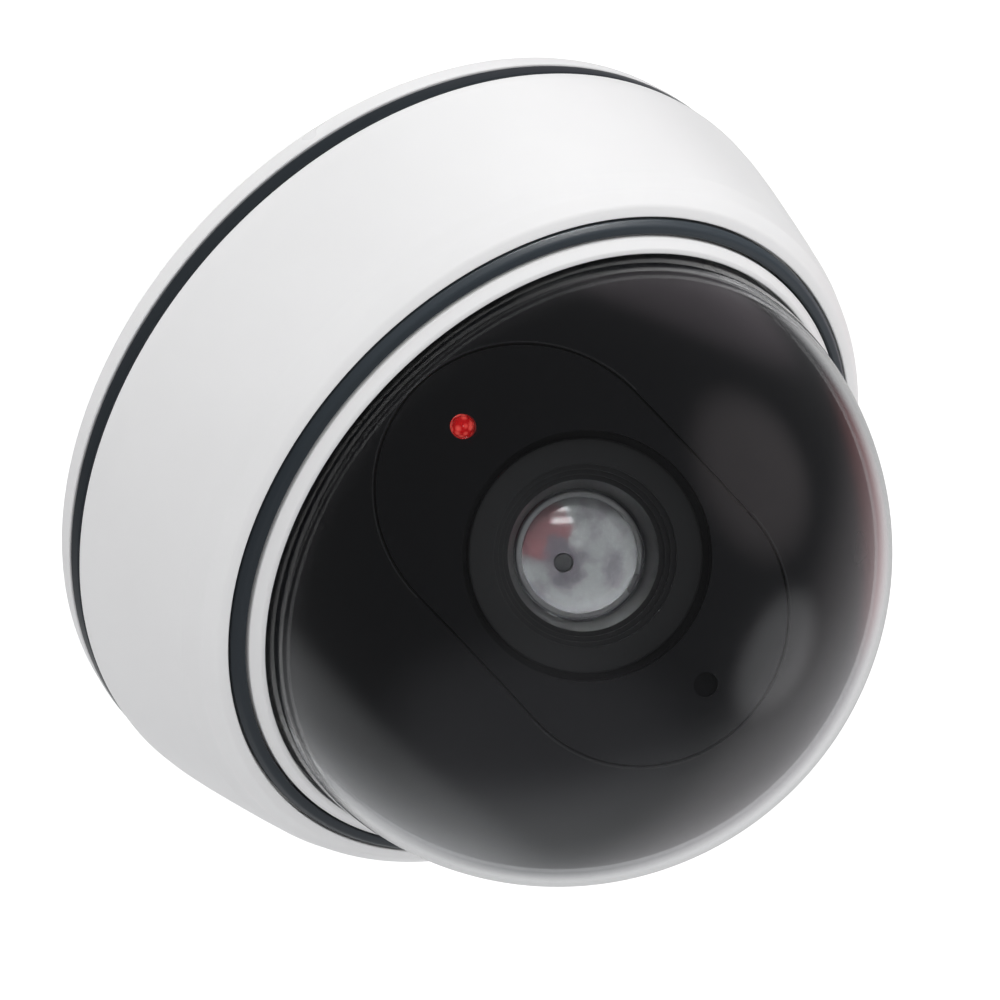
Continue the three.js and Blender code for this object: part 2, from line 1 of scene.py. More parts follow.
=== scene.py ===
"""The looks of an imitation dome camera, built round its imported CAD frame.

Everything is in metres in the frame's own axes: the origin is the centre of the rear face, +Z is
the dome's axis and the lens leans from +Z towards -Y.
"""

import json
import math

import bmesh
import bpy
from mathutils import Matrix, Vector


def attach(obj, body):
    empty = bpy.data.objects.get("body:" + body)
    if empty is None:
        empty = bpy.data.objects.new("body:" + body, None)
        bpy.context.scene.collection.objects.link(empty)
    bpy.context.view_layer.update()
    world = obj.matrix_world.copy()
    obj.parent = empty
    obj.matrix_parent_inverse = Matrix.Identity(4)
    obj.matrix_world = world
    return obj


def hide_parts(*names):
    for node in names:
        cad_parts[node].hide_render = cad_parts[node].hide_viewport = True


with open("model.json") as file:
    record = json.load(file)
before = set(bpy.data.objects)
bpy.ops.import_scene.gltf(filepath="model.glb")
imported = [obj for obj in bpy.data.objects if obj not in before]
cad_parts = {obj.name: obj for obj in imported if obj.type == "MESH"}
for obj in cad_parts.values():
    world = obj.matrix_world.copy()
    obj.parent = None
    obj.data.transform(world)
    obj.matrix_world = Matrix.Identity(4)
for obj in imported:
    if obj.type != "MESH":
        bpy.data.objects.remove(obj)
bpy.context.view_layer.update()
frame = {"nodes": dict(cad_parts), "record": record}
nodes = frame["nodes"]

# ------------------------------------------------------------------ driving dimensions
MM = 0.001
BASE_R = 60.1  # widest radius, where the housing meets the rear trim ring
DOME_Z = 38.2  # height of the dome's centre above the rear face
DOME_R = 47.3
DOME_WALL = 2.0
CASE_SCREW_R = 51.5  # radius of the circle that the four case screws stand on
TUB_SCREW_X = 23.0
KEYHOLE_R = 40.0  # radius of the arc that both keyhole slots follow
LENS_LEAN = 42.8  # degrees from the dome's axis to the lens's axis
LINER_R = 44.8
LINER_WALL = 1.5
FASCIA_R = 44.6
FASCIA_WALL = 2.6
SLOT_HALF = 11.6  # half the distance between the centres of the slot's round ends
SLOT_R = 20.2
SEAM = 0.3  # line between the liner and the fascia
BEZEL_HOLE_R = 16.9
LENS_R = 8.75
LENS_RIM = 30.8  # height of the lens's rim above the dome's centre, along its own axis
LENS_CROWN = 32.3
LENS_DOME_R = 7.9  # where the lens's flat rim meets its dome
LENS_BACK = 27.8
FLANGE_R = 10.6  # the flange that holds the lens, and the disc behind it
FLANGE_TOP = 29.4
IRIS_LOW = 26.3
IRIS_TOP = 27.5
PUPIL = (0.5, 2.0)  # the dark spot on the disc behind the lens, which is off its centre
PUPIL_HOLE_R = 1.25
PUPIL_R = 1.2
LED_X = 23.9  # the LED along the fascia, and its blind twin opposite
LED_HOLE_R = 1.7
LED_R = 1.5
TWIN_FLOOR = 35.8  # how far down the blind twin goes, along the lens's axis
FLOOR_TOP = -75.0
FLOOR_HALF = 3000.0
ROUND = 256  # sides of a large round piece

LENS_FRAME = (
    Matrix.Translation((0, 0, DOME_Z * MM))
    @ Matrix.Rotation(-math.pi / 2, 4, "Z")
    @ Matrix.Rotation(math.radians(LENS_LEAN), 4, "Y")
)


# ------------------------------------------------------------------ mesh helpers
def to_object(name, mesh, material, body, replaced=(), sharp=35):
    """A piece that rides on a body and stands for some CAD nodes."""
    obj = bpy.data.objects.new(name, mesh)
    bpy.context.scene.collection.objects.link(obj)
    mesh.materials.clear()
    mesh.materials.append(material)
    mesh.shade_smooth()
    mesh.set_sharp_from_angle(angle=math.radians(sharp))
    if body:
        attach(obj, body)
    if replaced:
        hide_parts(*replaced)
    return obj


def filleted(profile, steps=5):
    """A closed profile of (radius, height, fillet) corners, with each corner's fillet as an arc."""
    out = []
    count = len(profile)
    for i, corner in enumerate(profile):
        r, z, fillet = corner if len(corner) == 3 else (*corner, 0)
        here = Vector((r, z))
        before = Vector(profile[i - 1][:2]) - here
        after = Vector(profile[(i + 1) % count][:2]) - here
        if fillet <= 0 or before.length < 1e-6 or after.length < 1e-6:
            out.append((r, z))
            continue
        before.normalize()
        after.normalize()
        half = before.angle(after) / 2
        reach = fillet / math.tan(half)
        centre = here + (before + after).normalized() * (fillet / math.sin(half))
        start = here + before * reach - centre
        end = here + after * reach - centre
        turn = start.angle_signed(end)
        for k in range(steps + 1):
            spoke = start.copy()
            spoke.rotate(Matrix.Rotation(-turn * k / steps, 2))
            out.append(tuple(centre + spoke))
    return out


def arc(radius, centre, start, end, steps):
    """Points round (0, centre), from one angle above the horizon to another."""
    points = []
    for i in range(steps + 1):
        angle = math.radians(start + (end - start) * i / steps)
        points.append((max(0.0, radius * math.cos(angle)), centre + radius * math.sin(angle)))
    return points


def turned(profile, sides=ROUND, closed=True):
    """A mesh of a profile of (radius, height) in millimetres, turned about Z."""
    bm = bmesh.new()
    rings = []
    for r, z in profile:
        if r < 1e-5:
            rings.append([bm.verts.new((0, 0, z * MM))])
            continue
        ring = []
        for k in range(sides):
            angle = 2 * math.pi * k / sides
            ring.append(bm.verts.new((r * MM * math.cos(angle), r * MM * math.sin(angle), z * MM)))
        rings.append(ring)
    spans = len(rings) if closed else len(rings) - 1
    for i in range(spans):
        low, high = rings[i], rings[(i + 1) % len(rings)]
        if len(low) == 1 and len(high) == 1:
            continue
        for k in range(sides):
            n = (k + 1) % sides
            corners = [low[k % len(low)], low[n % len(low)], high[n % len(high)], high[k % len(high)]]
            face = [v for j, v in enumerate(corners) if v is not corners[j - 1]]
            bm.faces.new(face)
    bmesh.ops.recalc_face_normals(bm, faces=bm.faces)
    mesh = bpy.data.meshes.new("turned")
    bm.to_mesh(mesh)
    bm.free()
    return mesh


def prism(outline, low, high):
    """A mesh of a flat outline of (x, y) in millimetres, drawn out along Z."""
    bm = bmesh.new()
    bottom = [bm.verts.new((x * MM, y * MM, low * MM)) for x, y in outline]
    top = [bm.verts.new((x * MM, y * MM, high * MM)) for x, y in outline]
    bm.faces.new(bottom)
    bm.faces.new(top)
    for i, corner in enumerate(bottom):
        n = (i + 1) % len(bottom)
        bm.faces.new((corner, bottom[n], top[n], top[i]))
    bmesh.ops.recalc_face_normals(bm, faces=bm.faces)
    mesh = bpy.data.meshes.new("prism")
    bm.to_mesh(mesh)
    bm.free()
    return mesh


def circle(radius, x=0.0, y=0.0, sides=64):
    return [
        (x + radius * math.cos(2 * math.pi * k / sides), y + radius * math.sin(2 * math.pi * k / sides))
        for k in range(sides)
    ]


def oblong(half, radius, steps=64):
    """The outline of a slot with round ends, along X."""
    points = []
    for side in (1, -1):
        for k in range(steps + 1):
            angle = math.pi * (k / steps - 0.5) + (0 if side > 0 else math.pi)
            points.append((side * half + radius * math.cos(angle), radius * math.sin(angle)))
    return points


def rectangle(low, high):
    return [(low[0], low[1]), (high[0], low[1]), (high[0], high[1]), (low[0], high[1])]


def moved(mesh, matrix):
    mesh.transform(matrix)
    return mesh


def shift(x=0.0, y=0.0, z=0.0):
    return Matrix.Translation((x * MM, y * MM, z * MM))


def combined(mesh, others, operation="DIFFERENCE"):
    """The mesh after one boolean with each of the others."""
    scene = bpy.context.scene
    body = bpy.data.objects.new("body", mesh)
    scene.collection.objects.link(body)
    cutters = []
    for other in others:
        cutter = bpy.data.objects.new("cutter", other)
        scene.collection.objects.link(cutter)
        cutters.append(cutter)
        step = body.modifiers.new("cut", "BOOLEAN")
        step.operation = operation
        step.solver = "EXACT"
        step.object = cutter
    bpy.context.view_layer.update()
    graph = bpy.context.evaluated_depsgraph_get()
    result = bpy.data.meshes.new_from_object(body.evaluated_get(graph))
    for obj in [body, *cutters]:
        bpy.data.objects.remove(obj)
    return result


def joined(meshes):
    """Several meshes as one, with their volumes left as they are."""
    bm = bmesh.new()
    for mesh in meshes:
        bm.from_mesh(mesh)
    mesh = bpy.data.meshes.new("joined")
    bm.to_mesh(mesh)
    bm.free()
    return mesh


# ------------------------------------------------------------------ materials
def shader(name, color, roughness, **sockets):
    """A Principled material, its node tree and its shader node."""
    mat = bpy.data.materials.new(name)
    mat.use_nodes = True
    node = mat.node_tree.nodes["Principled BSDF"]
    node.inputs["Base Color"].default_value = (*color, 1)
    node.inputs["Roughness"].default_value = roughness
    for key, value in sockets.items():
        node.inputs[key.replace("_", " ")].default_value = value
    return mat, mat.node_tree, node


def noise(tree, scale, detail=3.0, roughness=0.55):
    place = tree.nodes.new("ShaderNodeTexCoord")
    texture = tree.nodes.new("ShaderNodeTexNoise")
    texture.inputs["Scale"].default_value = scale
    texture.inputs["Detail"].default_value = detail
    texture.inputs["Roughness"].default_value = roughness
    tree.links.new(place.outputs["Object"], texture.inputs["Vector"])
    return texture.outputs["Fac"]


def spread(tree, value, low, high):
    """A noise mapped gently to a range."""
    node = tree.nodes.new("ShaderNodeMapRange")
    node.interpolation_type = "SMOOTHSTEP"
    node.inputs["From Min"].default_value = 0.1
    node.inputs["From Max"].default_value = 0.9
    node.inputs["To Min"].default_value = low
    node.inputs["To Max"].default_value = high
    tree.links.new(value, node.inputs["Value"])
    return node.outputs["Result"]


def moulded(name, color, roughness, grain=1400, depth=0.000004, drift=0.05, **sockets):
    """A moulded plastic: fine surface texture, and slow drift in its colour and gloss."""
    mat, tree, node = shader(name, color, roughness, **sockets)
    slow = noise(tree, 38)
    tree.links.new(spread(tree, slow, roughness - drift, roughness + drift), node.inputs["Roughness"])
    mix = tree.nodes.new("ShaderNodeMix")
    mix.data_type = "RGBA"
    mix.inputs["A"].default_value = (*[c * 0.955 for c in color], 1)
    mix.inputs["B"].default_value = (*[min(1, c * 1.03) for c in color], 1)
    tree.links.new(spread(tree, noise(tree, 21, 4), 0, 1), mix.inputs["Factor"])
    tree.links.new(mix.outputs["Result"], node.inputs["Base Color"])
    bump = tree.nodes.new("ShaderNodeBump")
    bump.inputs["Strength"].default_value = 0.35
    bump.inputs["Distance"].default_value = depth
    tree.links.new(noise(tree, grain, 4), bump.inputs["Height"])
    tree.links.new(bump.outputs["Normal"], node.inputs["Normal"])
    return mat


def clear(name, color, roughness, ior, **sockets):
    """Clear plastic that lets lamps through to what is behind it."""
    mat, tree, node = shader(name, color, roughness, Transmission_Weight=1.0, IOR=ior, **sockets)
    tree.links.new(spread(tree, noise(tree, 55), 0.0, roughness * 2), node.inputs["Roughness"])
    output = next(n for n in tree.nodes if n.type == "OUTPUT_MATERIAL")
    path = tree.nodes.new("ShaderNodeLightPath")
    gap = tree.nodes.new("ShaderNodeBsdfTransparent")
    gap.inputs["Color"].default_value = (0.95, 0.96, 0.965, 1)
    mix = tree.nodes.new("ShaderNodeMixShader")
    tree.links.new(path.outputs["Is Shadow Ray"], mix.inputs[0])
    tree.links.new(node.outputs["BSDF"], mix.inputs[1])
    tree.links.new(gap.outputs["BSDF"], mix.inputs[2])
    tree.links.new(mix.outputs["Shader"], output.inputs["Surface"])
    return mat


def metal(name, color, roughness):
    mat, tree, node = shader(name, color, roughness, Metallic=1.0)
    gloss = spread(tree, noise(tree, 300), roughness - 0.08, roughness + 0.12)
    tree.links.new(gloss, node.inputs["Roughness"])
    bump = tree.nodes.new("ShaderNodeBump")
    bump.inputs["Strength"].default_value = 0.25
    bump.inputs["Distance"].default_value = 0.00001
    tree.links.new(noise(tree, 2600, 2), bump.inputs["Height"])
    tree.links.new(bump.outputs["Normal"], node.inputs["Normal"])
    return mat


def cell_jacket():
    """A battery's printed sleeve: two plain colours, one after the other, and a bare metal end."""
    mat, tree, node = shader("cell_jacket", (0.02, 0.05, 0.16), 0.3)
    place = tree.nodes.new("ShaderNodeTexCoord")
    split = tree.nodes.new("ShaderNodeSeparateXYZ")
    ramp = tree.nodes.new("ShaderNodeValToRGB")
    ramp.color_ramp.interpolation = "CONSTANT"
    stops = [(0.0, (0.02, 0.05, 0.16)), (0.66, (0.55, 0.3, 0.12)), (0.98, (0.6, 0.6, 0.62))]
    ramp.color_ramp.elements[0].position = stops[0][0]
    ramp.color_ramp.elements[0].color = (*stops[0][1], 1)
    ramp.color_ramp.elements[1].position = stops[2][0]
    ramp.color_ramp.elements[1].color = (*stops[2][1], 1)
    middle = ramp.color_ramp.elements.new(stops[1][0])
    middle.color = (*stops[1][1], 1)
    tree.links.new(place.outputs["Generated"], split.inputs["Vector"])
    tree.links.new(split.outputs["Y"], ramp.inputs["Fac"])
    tree.links.new(ramp.outputs["Color"], node.inputs["Base Color"])
    tree.links.new(spread(tree, noise(tree, 90), 0.22, 0.38), node.inputs["Roughness"])
    return mat


def near_spot(tree, x, y, full, edge, wobble=0.0):
    """1 within one distance (mm) of a spot on the disc behind the lens, and 0 past another."""
    place = tree.nodes.new("ShaderNodeTexCoord")
    reach = tree.nodes.new("ShaderNodeVectorMath")
    reach.operation = "DISTANCE"
    reach.inputs[1].default_value = LENS_FRAME @ Vector((x * MM, y * MM, IRIS_TOP * MM))
    tree.links.new(place.outputs["Object"], reach.inputs[0])
    uneven = tree.nodes.new("ShaderNodeMath")
    uneven.operation = "ADD"
    tree.links.new(reach.outputs["Value"], uneven.inputs[0])
    tree.links.new(spread(tree, noise(tree, 420, 4), -wobble * MM, wobble * MM), uneven.inputs[1])
    fade = tree.nodes.new("ShaderNodeMapRange")
    fade.interpolation_type = "SMOOTHSTEP"
    fade.inputs["From Min"].default_value = edge * MM
    fade.inputs["From Max"].default_value = full * MM
    tree.links.new(uneven.outputs["Value"], fade.inputs["Value"])
    return fade.outputs["Result"]


def painted(tree, base, mask, color):
    """A colour laid over another where the mask says."""
    mix = tree.nodes.new("ShaderNodeMix")
    mix.data_type = "RGBA"
    mix.inputs["B"].default_value = (*color, 1)
    tree.links.new(mask, mix.inputs["Factor"])
    tree.links.new(base, mix.inputs["A"])
    return mix.outputs["Result"]


def iris_with_painted_reflection():
    """The disc behind the lens: milky and clouded, with a painted reddish-brown reflection on one side and
    a dark curl.
    """
    mat = moulded("iris_with_painted_reflection", (0.09, 0.09, 0.092), 0.42)
    tree = mat.node_tree
    node = tree.nodes["Principled BSDF"]
    tone = node.inputs["Base Color"].links[0].from_socket
    tone = painted(tree, tone, spread(tree, noise(tree, 260, 5), -1.5, 1.9), (0.038, 0.034, 0.04))
    # painted reflection: a reddish-brown patch on one side of the disc, standing in for something reddish
    # that the lens reflects
    tone = painted(tree, tone, near_spot(tree, 6.0, 1.1, 3.6, 4.6, 0.9), (0.055, 0.01, 0.013))
    for x, y, radius in [(2.3, 1.2, 1.5), (0.5, 2.0, 2.5), (-1.0, 3.0, 1.9)]:
        spot = near_spot(tree, x, y, radius * 0.5, radius * 1.3, 1.0)
        tone = painted(tree, tone, spot, (0.022, 0.017, 0.024))
    tree.links.new(tone, node.inputs["Base Color"])
    return mat


def led_with_painted_reflections():
    """Clear red resin, with an uneven emission painted in for the reflections off the cup and wires inside
    it.
    """
    coat = {"Coat_Weight": 1.0, "Coat_Roughness": 0.12}
    mat, tree, node = shader("red_led", (0.75, 0.006, 0.01), 0.1, Transmission_Weight=0.4, IOR=1.5, **coat)
    # painted reflections: a glow pattern of bright red spots and darker marks, fed to the emission,
    # standing in for light reflected by the cup and wires
    pattern = tree.nodes.new("ShaderNodeTexVoronoi")
    pattern.inputs["Scale"].default_value = 1100
    place = tree.nodes.new("ShaderNodeTexCoord")
    tree.links.new(place.outputs["Object"], pattern.inputs["Vector"])
    ramp = tree.nodes.new("ShaderNodeValToRGB")
    ramp.color_ramp.elements[0].position = 0.25
    ramp.color_ramp.elements[0].color = (1.0, 0.16, 0.13, 1)
    ramp.color_ramp.elements[1].position = 0.6
    ramp.color_ramp.elements[1].color = (0.25, 0.003, 0.004, 1)
    tree.links.new(pattern.outputs["Distance"], ramp.inputs["Fac"])
    tree.links.new(ramp.outputs["Color"], node.inputs["Emission Color"])
    node.inputs["Emission Strength"].default_value = 0.55
    return mat


MATERIALS = {
    "white_plastic": moulded("white_plastic", (0.815, 0.815, 0.817), 0.3, drift=0.04),
    "trim_plastic": moulded("trim_plastic", (0.022, 0.028, 0.034), 0.34),
    "black_plastic": moulded("black_plastic", (0.009, 0.009, 0.01), 0.3, depth=0.0000015),
    "satin_black": moulded("satin_black", (0.04, 0.04, 0.041), 0.36, depth=0.000002),
    "clear_dome": clear("clear_dome", (0.74, 0.745, 0.75), 0.012, 1.49),
    "clear_lens": clear(
        "clear_lens", (0.96, 0.97, 0.97), 0.02, 1.49, Coat_Weight=1.0, Coat_Roughness=0.05
    ),
    "frosted": moulded("frosted", (0.3, 0.3, 0.305), 0.3, Transmission_Weight=0.35, IOR=1.49),
    "rubber": moulded("rubber", (0.012, 0.012, 0.012), 0.75, grain=900, depth=0.00003),
    "grey_plastic": moulded("grey_plastic", (0.30, 0.30, 0.31), 0.42),
    "red_led": led_with_painted_reflections(),
    "circuit_board": moulded("circuit_board", (0.01, 0.13, 0.045), 0.38),
    "nylon": moulded("nylon", (0.66, 0.64, 0.56), 0.5),
    "cell_jacket": cell_jacket(),
    "steel": metal("steel", (0.52, 0.53, 0.55), 0.3),
    "red_insulation": moulded("red_insulation", (0.42, 0.015, 0.012), 0.45),
    "black_insulation": moulded("black_insulation", (0.012, 0.012, 0.013), 0.45),
}


# ------------------------------------------------------------------ housing and its rings
def housing():
    outside = [
        (BASE_R, 7.1, 0.5), (60.25, 8.6), (60.0, 11.0), (59.4, 14.6), (58.5, 19.2), (57.3, 25.0),
        (56.3, 29.4, 2.0), (55.2, 32.4, 2.2), (53.5, 34.35, 1.3), (51.9, 34.85, 0.2),
    ]
    inside = [
        (51.9, 33.1), (50.0, 33.1, 0.3), (50.0, 28.0), (48.3, 28.0), (48.3, 32.3, 0.2), (47.1, 32.3),
        (47.1, 31.3), (45.9, 31.3, 0.2), (45.9, 26.5, 0.2), (51.6, 26.5), (52.3, 31.0), (53.3, 31.0),
        (54.9, 25.2), (56.2, 19.2), (57.4, 13.2), (57.8, 7.1),
    ]
    mesh = turned(filleted(outside + inside))
    to_object("housing", mesh, MATERIALS["white_plastic"], "base", ["housing_shell"], sharp=40)


def keyhole(side):
    """The round entry and the arc-shaped slot of one mounting keyhole."""
    entry = prism(circle(4.5, side * KEYHOLE_R), -1, 5)
    turn = 0 if side > 0 else math.pi
    angles = [math.radians(22 * k / 16) + turn for k in range(17)]
    outer, inner = KEYHOLE_R + 2.6, KEYHOLE_R - 2.6
    outline = [(outer * math.cos(a), outer * math.sin(a)) for a in angles]
    outline += [(inner * math.cos(a), inner * math.sin(a)) for a in reversed(angles)]
    return [entry, prism(outline, -1, 5)]


def base_plate():
    plate = turned(
        filleted(
            [
                (0, 0), (58.2, 0, 0.6), (59.5, 1.2, 0.8), (60.0, 4.2, 0.3), (57.4, 4.2),
                (57.4, 9.5, 0.3), (55.4, 9.5, 0.3), (55.4, 3.6), (0, 3.6),
            ]
        ),
        closed=False,
    )
    cutters = [
        prism(rectangle((-15.4, -29), (15.4, 29)), -1, 5),
        prism(rectangle((-17.6, -31.5), (17.6, 29.6)), -1, 2.3),
        prism(rectangle((-15.6, 29.5), (15.6, 32.7)), -1, 2.6),
        prism(rectangle((-3.1, -41.8), (3.1, -38.2)), -1, 5),
        *keyhole(1),
        *keyhole(-1),
    ]
    for x, y in case_screw_spots():
        cutters += [prism(circle(1.9, x, y, 32), -1, 5), prism(circle(3.4, x, y, 48), -1, 1.9)]
    for side in (-1, 1):
        x = side * TUB_SCREW_X
        cutters += [prism(circle(1.4, x, 0, 32), -1, 5), prism(circle(2.4, x, 0, 48), -1, 1.5)]
    mesh = combined(plate, cutters)
    to_object("rear_plate", mesh, MATERIALS["white_plastic"], "base", ["base_plate"], sharp=30)


def case_screw_spots():
    angles = [math.radians(45 + 90 * k) for k in range(4)]
    return [(CASE_SCREW_R * math.cos(a), CASE_SCREW_R * math.sin(a)) for a in angles]


def pan_screw(name, node, body, spot, shank, length, head, height):
    """A pan-head screw with a cross recess. spot is its head's underside, and its shank points to +Z."""
    profile = filleted(
        [
            (0, -height), (head * 0.72, -height, height * 0.5), (head, -height * 0.4, height * 0.3),
            (head, 0, 0.1), (shank, 0), (shank, length - 1), (0, length),
        ]
    )
    reach, half = head * 0.62, head * 0.13
    cross = joined(
        [
            prism(rectangle((-reach, -half), (reach, half)), -height - 1, -height * 0.35),
            prism(rectangle((-half, -reach), (half, reach)), -height - 1, -height * 0.36),
        ]
    )
    mesh = moved(combined(turned(profile, 48, closed=False), [cross]), shift(*spot))
    to_object(name, mesh, MATERIALS["steel"], body, [node], sharp=30)


def rear_screws():
    for i, (x, y) in enumerate(case_screw_spots(), 1):
        pan_screw(f"rear_screw_{i}", f"case_screw_{i}", "base", (x, y, 1.6), 1.5, 12, 3.0, 1.4)
    for i, side in enumerate((-1, 1), 1):
        spot = (side * TUB_SCREW_X, 0, 1.2)
        pan_screw(f"small_screw_{i}", f"tub_screw_{i}", "base", spot, 1.1, 5, 2.1, 1.1)


def trim_rings():
    rear = filleted([(57.7, 4.5, 0.1), (59.9, 4.5, 0.3), (60.0, 6.8, 0.3), (57.7, 6.8, 0.1)])
    to_object("rear_trim", turned(rear), MATERIALS["trim_plastic"], "base", ["rear_trim_ring"])
    front = filleted(
        [
            (49.8, 33.4, 0.2), (51.6, 33.4, 0.1), (51.6, 34.9, 0.25),
            (51.0, 35.75, 0.9), (49.8, 36.1, 0.25),
        ]
    )
    to_object("front_trim", turned(front), MATERIALS["trim_plastic"], "base", ["front_trim_ring"])


def bezel():
    band = filleted(
        [
            (48.6, 28.3, 0.2), (49.5, 28.3, 0.2), (49.5, 36.2, 0.45), (48.4, 37.5, 0.7),
            (47.65, 37.75, 0.2), (47.5, 35.1, 0.1), (48.6, 35.1, 0.1),
        ]
    )
    to_object("bezel", turned(band), MATERIALS["white_plastic"], "bezel", ["bezel_ring"], sharp=40)


def dome():
    outer, inner = DOME_R, DOME_R - DOME_WALL
    profile = [
        (48.2, 32.6), (48.2, 34.7), (outer, 34.7), *arc(outer, DOME_Z, 0, 90, 72),
        *arc(inner, DOME_Z, 90, 0, 72), (inner, 32.6),
    ]
    to_object("dome", turned(profile), MATERIALS["clear_dome"], "dome", ["dome_cover"], sharp=30)


# ------------------------------------------------------------------ turret
def ball(radius, sides=192):
    half = sides // 2
    step = 180 / half
    points = [(0.0, -radius), *arc(radius, 0, step - 90, 90 - step, half - 2), (0.0, radius)]
    return turned(points, sides, closed=False)


def liner():
    outer, inner = LINER_R, LINER_R - LINER_WALL
    profile = [
        (outer, 26.5), *arc(outer, DOME_Z, 0, 90, 96),
        *arc(inner, DOME_Z, 90, 0, 48), (inner, 26.5),
    ]
    slot = moved(prism(oblong(SLOT_HALF, SLOT_R), 22, 60), LENS_FRAME)
    mesh = combined(turned(profile), [slot])
    to_object("liner", mesh, MATERIALS["black_plastic"], "turret", ["turret_liner"], sharp=25)


def fascia():
    plate = combined(ball(FASCIA_R), [prism(oblong(SLOT_HALF, SLOT_R - SEAM), 22, 60)], "INTERSECT")
    holes = [
        prism(circle(BEZEL_HOLE_R, sides=128), 20, 62),
        prism(circle(LED_HOLE_R, LED_X), 20, 62),
        prism(circle(LED_HOLE_R, -LED_X), TWIN_FLOOR, 62),
    ]
    mesh = moved(combined(plate, [ball(FASCIA_R - FASCIA_WALL, 96), *holes]), LENS_FRAME)
    to_object("fascia_plate", mesh, MATERIALS["black_plastic"], "turret", ["fascia"], sharp=25)


def lens_bezel():
    steps = [
        (9.05, 29.7), (12.6, 29.7), (12.6, 36.2), (18.6, 36.2), (18.6, 37.0), (15.9, 37.0),
        (15.9, 39.2, 0.35), (12.4, 38.9, 0.15), (12.4, 38.1, 0.1), (11.7, 38.0, 0.15), (11.7, 37.2, 0.1),
        (11.0, 37.1, 0.15), (11.0, 36.3, 0.1), (10.3, 36.2, 0.15), (9.05, 31.0, 0.3),
    ]
    mesh = moved(turned(filleted(steps), 160), LENS_FRAME)
    to_object("lens_surround", mesh, MATERIALS["satin_black"], "turret", ["lens_bezel"], sharp=40)


def front_lens():
    """The domed lens, with its flat frosted rim as a ring of its own."""
    bulge = LENS_CROWN - LENS_RIM
    radius = (LENS_DOME_R**2 + bulge**2) / (2 * bulge)
    edge = math.degrees(math.acos(LENS_DOME_R / radius))
    profile = [(0, LENS_BACK), (FLANGE_R, LENS_BACK), (FLANGE_R, FLANGE_TOP), (LENS_DOME_R, FLANGE_TOP)]
    profile += arc(radius, LENS_CROWN - radius, edge, 90, 48)
    mesh = moved(turned(profile, 128, closed=False), LENS_FRAME)
    to_object("lens", mesh, MATERIALS["clear_lens"], "turret", ["front_lens"], sharp=30)
    inner, low = LENS_DOME_R + 0.02, FLANGE_TOP + 0.02
    rim = filleted([(inner, low), (LENS_R, low), (LENS_R, LENS_RIM, 0.3), (inner, LENS_RIM, 0.15)])
    mesh = moved(turned(rim, 128), LENS_FRAME)
    to_object("lens_rim", mesh, MATERIALS["frosted"], "turret")


def lens_inside():
    """The barrel, the disc behind the lens and the plug in the disc's hole."""
    barrel = [
        (0, 19), (12.3, 19, 0.3), (12.3, FLANGE_TOP, 0.2), (10.9, FLANGE_TOP, 0.2),
        (10.9, 26), (10, 25.4), (10, 20.5), (0, 20.5),
    ]
    mesh = moved(turned(filleted(barrel), 96, closed=False), LENS_FRAME)
    to_object("barrel", mesh, MATERIALS["black_plastic"], "turret", ["lens_barrel"])
    disc = [(0, IRIS_LOW), (FLANGE_R, IRIS_LOW, 0.1), (FLANGE_R, IRIS_TOP, 0.1), (0, IRIS_TOP)]
    hole = prism(circle(PUPIL_HOLE_R, *PUPIL), IRIS_LOW - 1, IRIS_TOP + 1)
    mesh = moved(combined(turned(filleted(disc), 96, closed=False), [hole]), LENS_FRAME)
    to_object("iris", mesh, iris_with_painted_reflection(), "turret", ["iris_disc"])
    low = IRIS_LOW - 0.6
    plug = filleted([(0, low), (PUPIL_R, low), (PUPIL_R, IRIS_TOP - 0.15, 0.3), (0, IRIS_TOP - 0.1)])
    mesh = moved(turned(plug, 64, closed=False), LENS_FRAME @ shift(*PUPIL))
    to_object("pupil_plug", mesh, MATERIALS["black_plastic"], "turret", ["pupil"])


def liner_lip():
    """The rounded edge of the liner's opening, which catches the light."""
    outline = oblong(SLOT_HALF, SLOT_R + 0.12)
    curve = bpy.data.curves.new("lip", "CURVE")
    curve.dimensions = "3D"
    curve.bevel_depth = 0.14 * MM
    curve.bevel_resolution = 3
    line = curve.splines.new("POLY")
    line.points.add(len(outline) - 1)
    for point, (x, y) in zip(line.points, outline):
        height = math.sqrt((LINER_R - 0.08) ** 2 - x * x - y * y)
        point.co = (*(LENS_FRAME @ Vector((x * MM, y * MM, height * MM))), 1)
    line.use_cyclic_u = True
    shape = bpy.data.objects.new("lip", curve)
    mesh = bpy.data.meshes.new_from_object(shape)
    bpy.data.objects.remove(shape)
    to_object("liner_lip", mesh, MATERIALS["satin_black"], "turret")


def led_lamp():
    profile = [(0, 32.2), (1.95, 32.2), (1.95, 33.2), (LED_R, 33.2), *arc(LED_R, 36, 0, 90, 16)]
    mesh = moved(turned(profile, 48, closed=False), LENS_FRAME @ shift(LED_X))
    to_object("led_lamp", mesh, MATERIALS["red_led"], "turret", ["led"])


# ------------------------------------------------------------------ the rest keeps its CAD shape
SQUARE_PIECES = ("battery_door", "battery_tub", "switch_body", "switch_slider", "flasher_chip")


def carry_over():
    """Gives each CAD node still shown its slot's material, and bevels the edges of the square pieces."""
    for part in frame["record"]["subparts"]:
        obj = nodes[part["node"]]
        if obj.hide_render:
            continue
        obj.data.materials.clear()
        obj.data.materials.append(MATERIALS[part["material_slot"]])
        if part["node"] in SQUARE_PIECES:
            edge = obj.modifiers.new("edge", "BEVEL")
            edge.width = 0.25 * MM
            edge.segments = 2
            edge.limit_method = "ANGLE"
            edge.angle_limit = math.radians(50)


# ------------------------------------------------------------------ camera, floor and light
VIEW_TILT = 46.72  # degrees between the dome's axis and the line of sight
VIEW_TURN = -85.2  # azimuth of the camera about the dome's axis
VIEW_ROLL = 43.23  # where the dome's axis points in the picture, below its right
FOCUS = (-11.5, -11.1, 1208.0)  # the rear rim's centre seen from the camera: right, down, away
FOCUS_Z = 1.2
FIELD = 8.3676  # focal length in picture widths


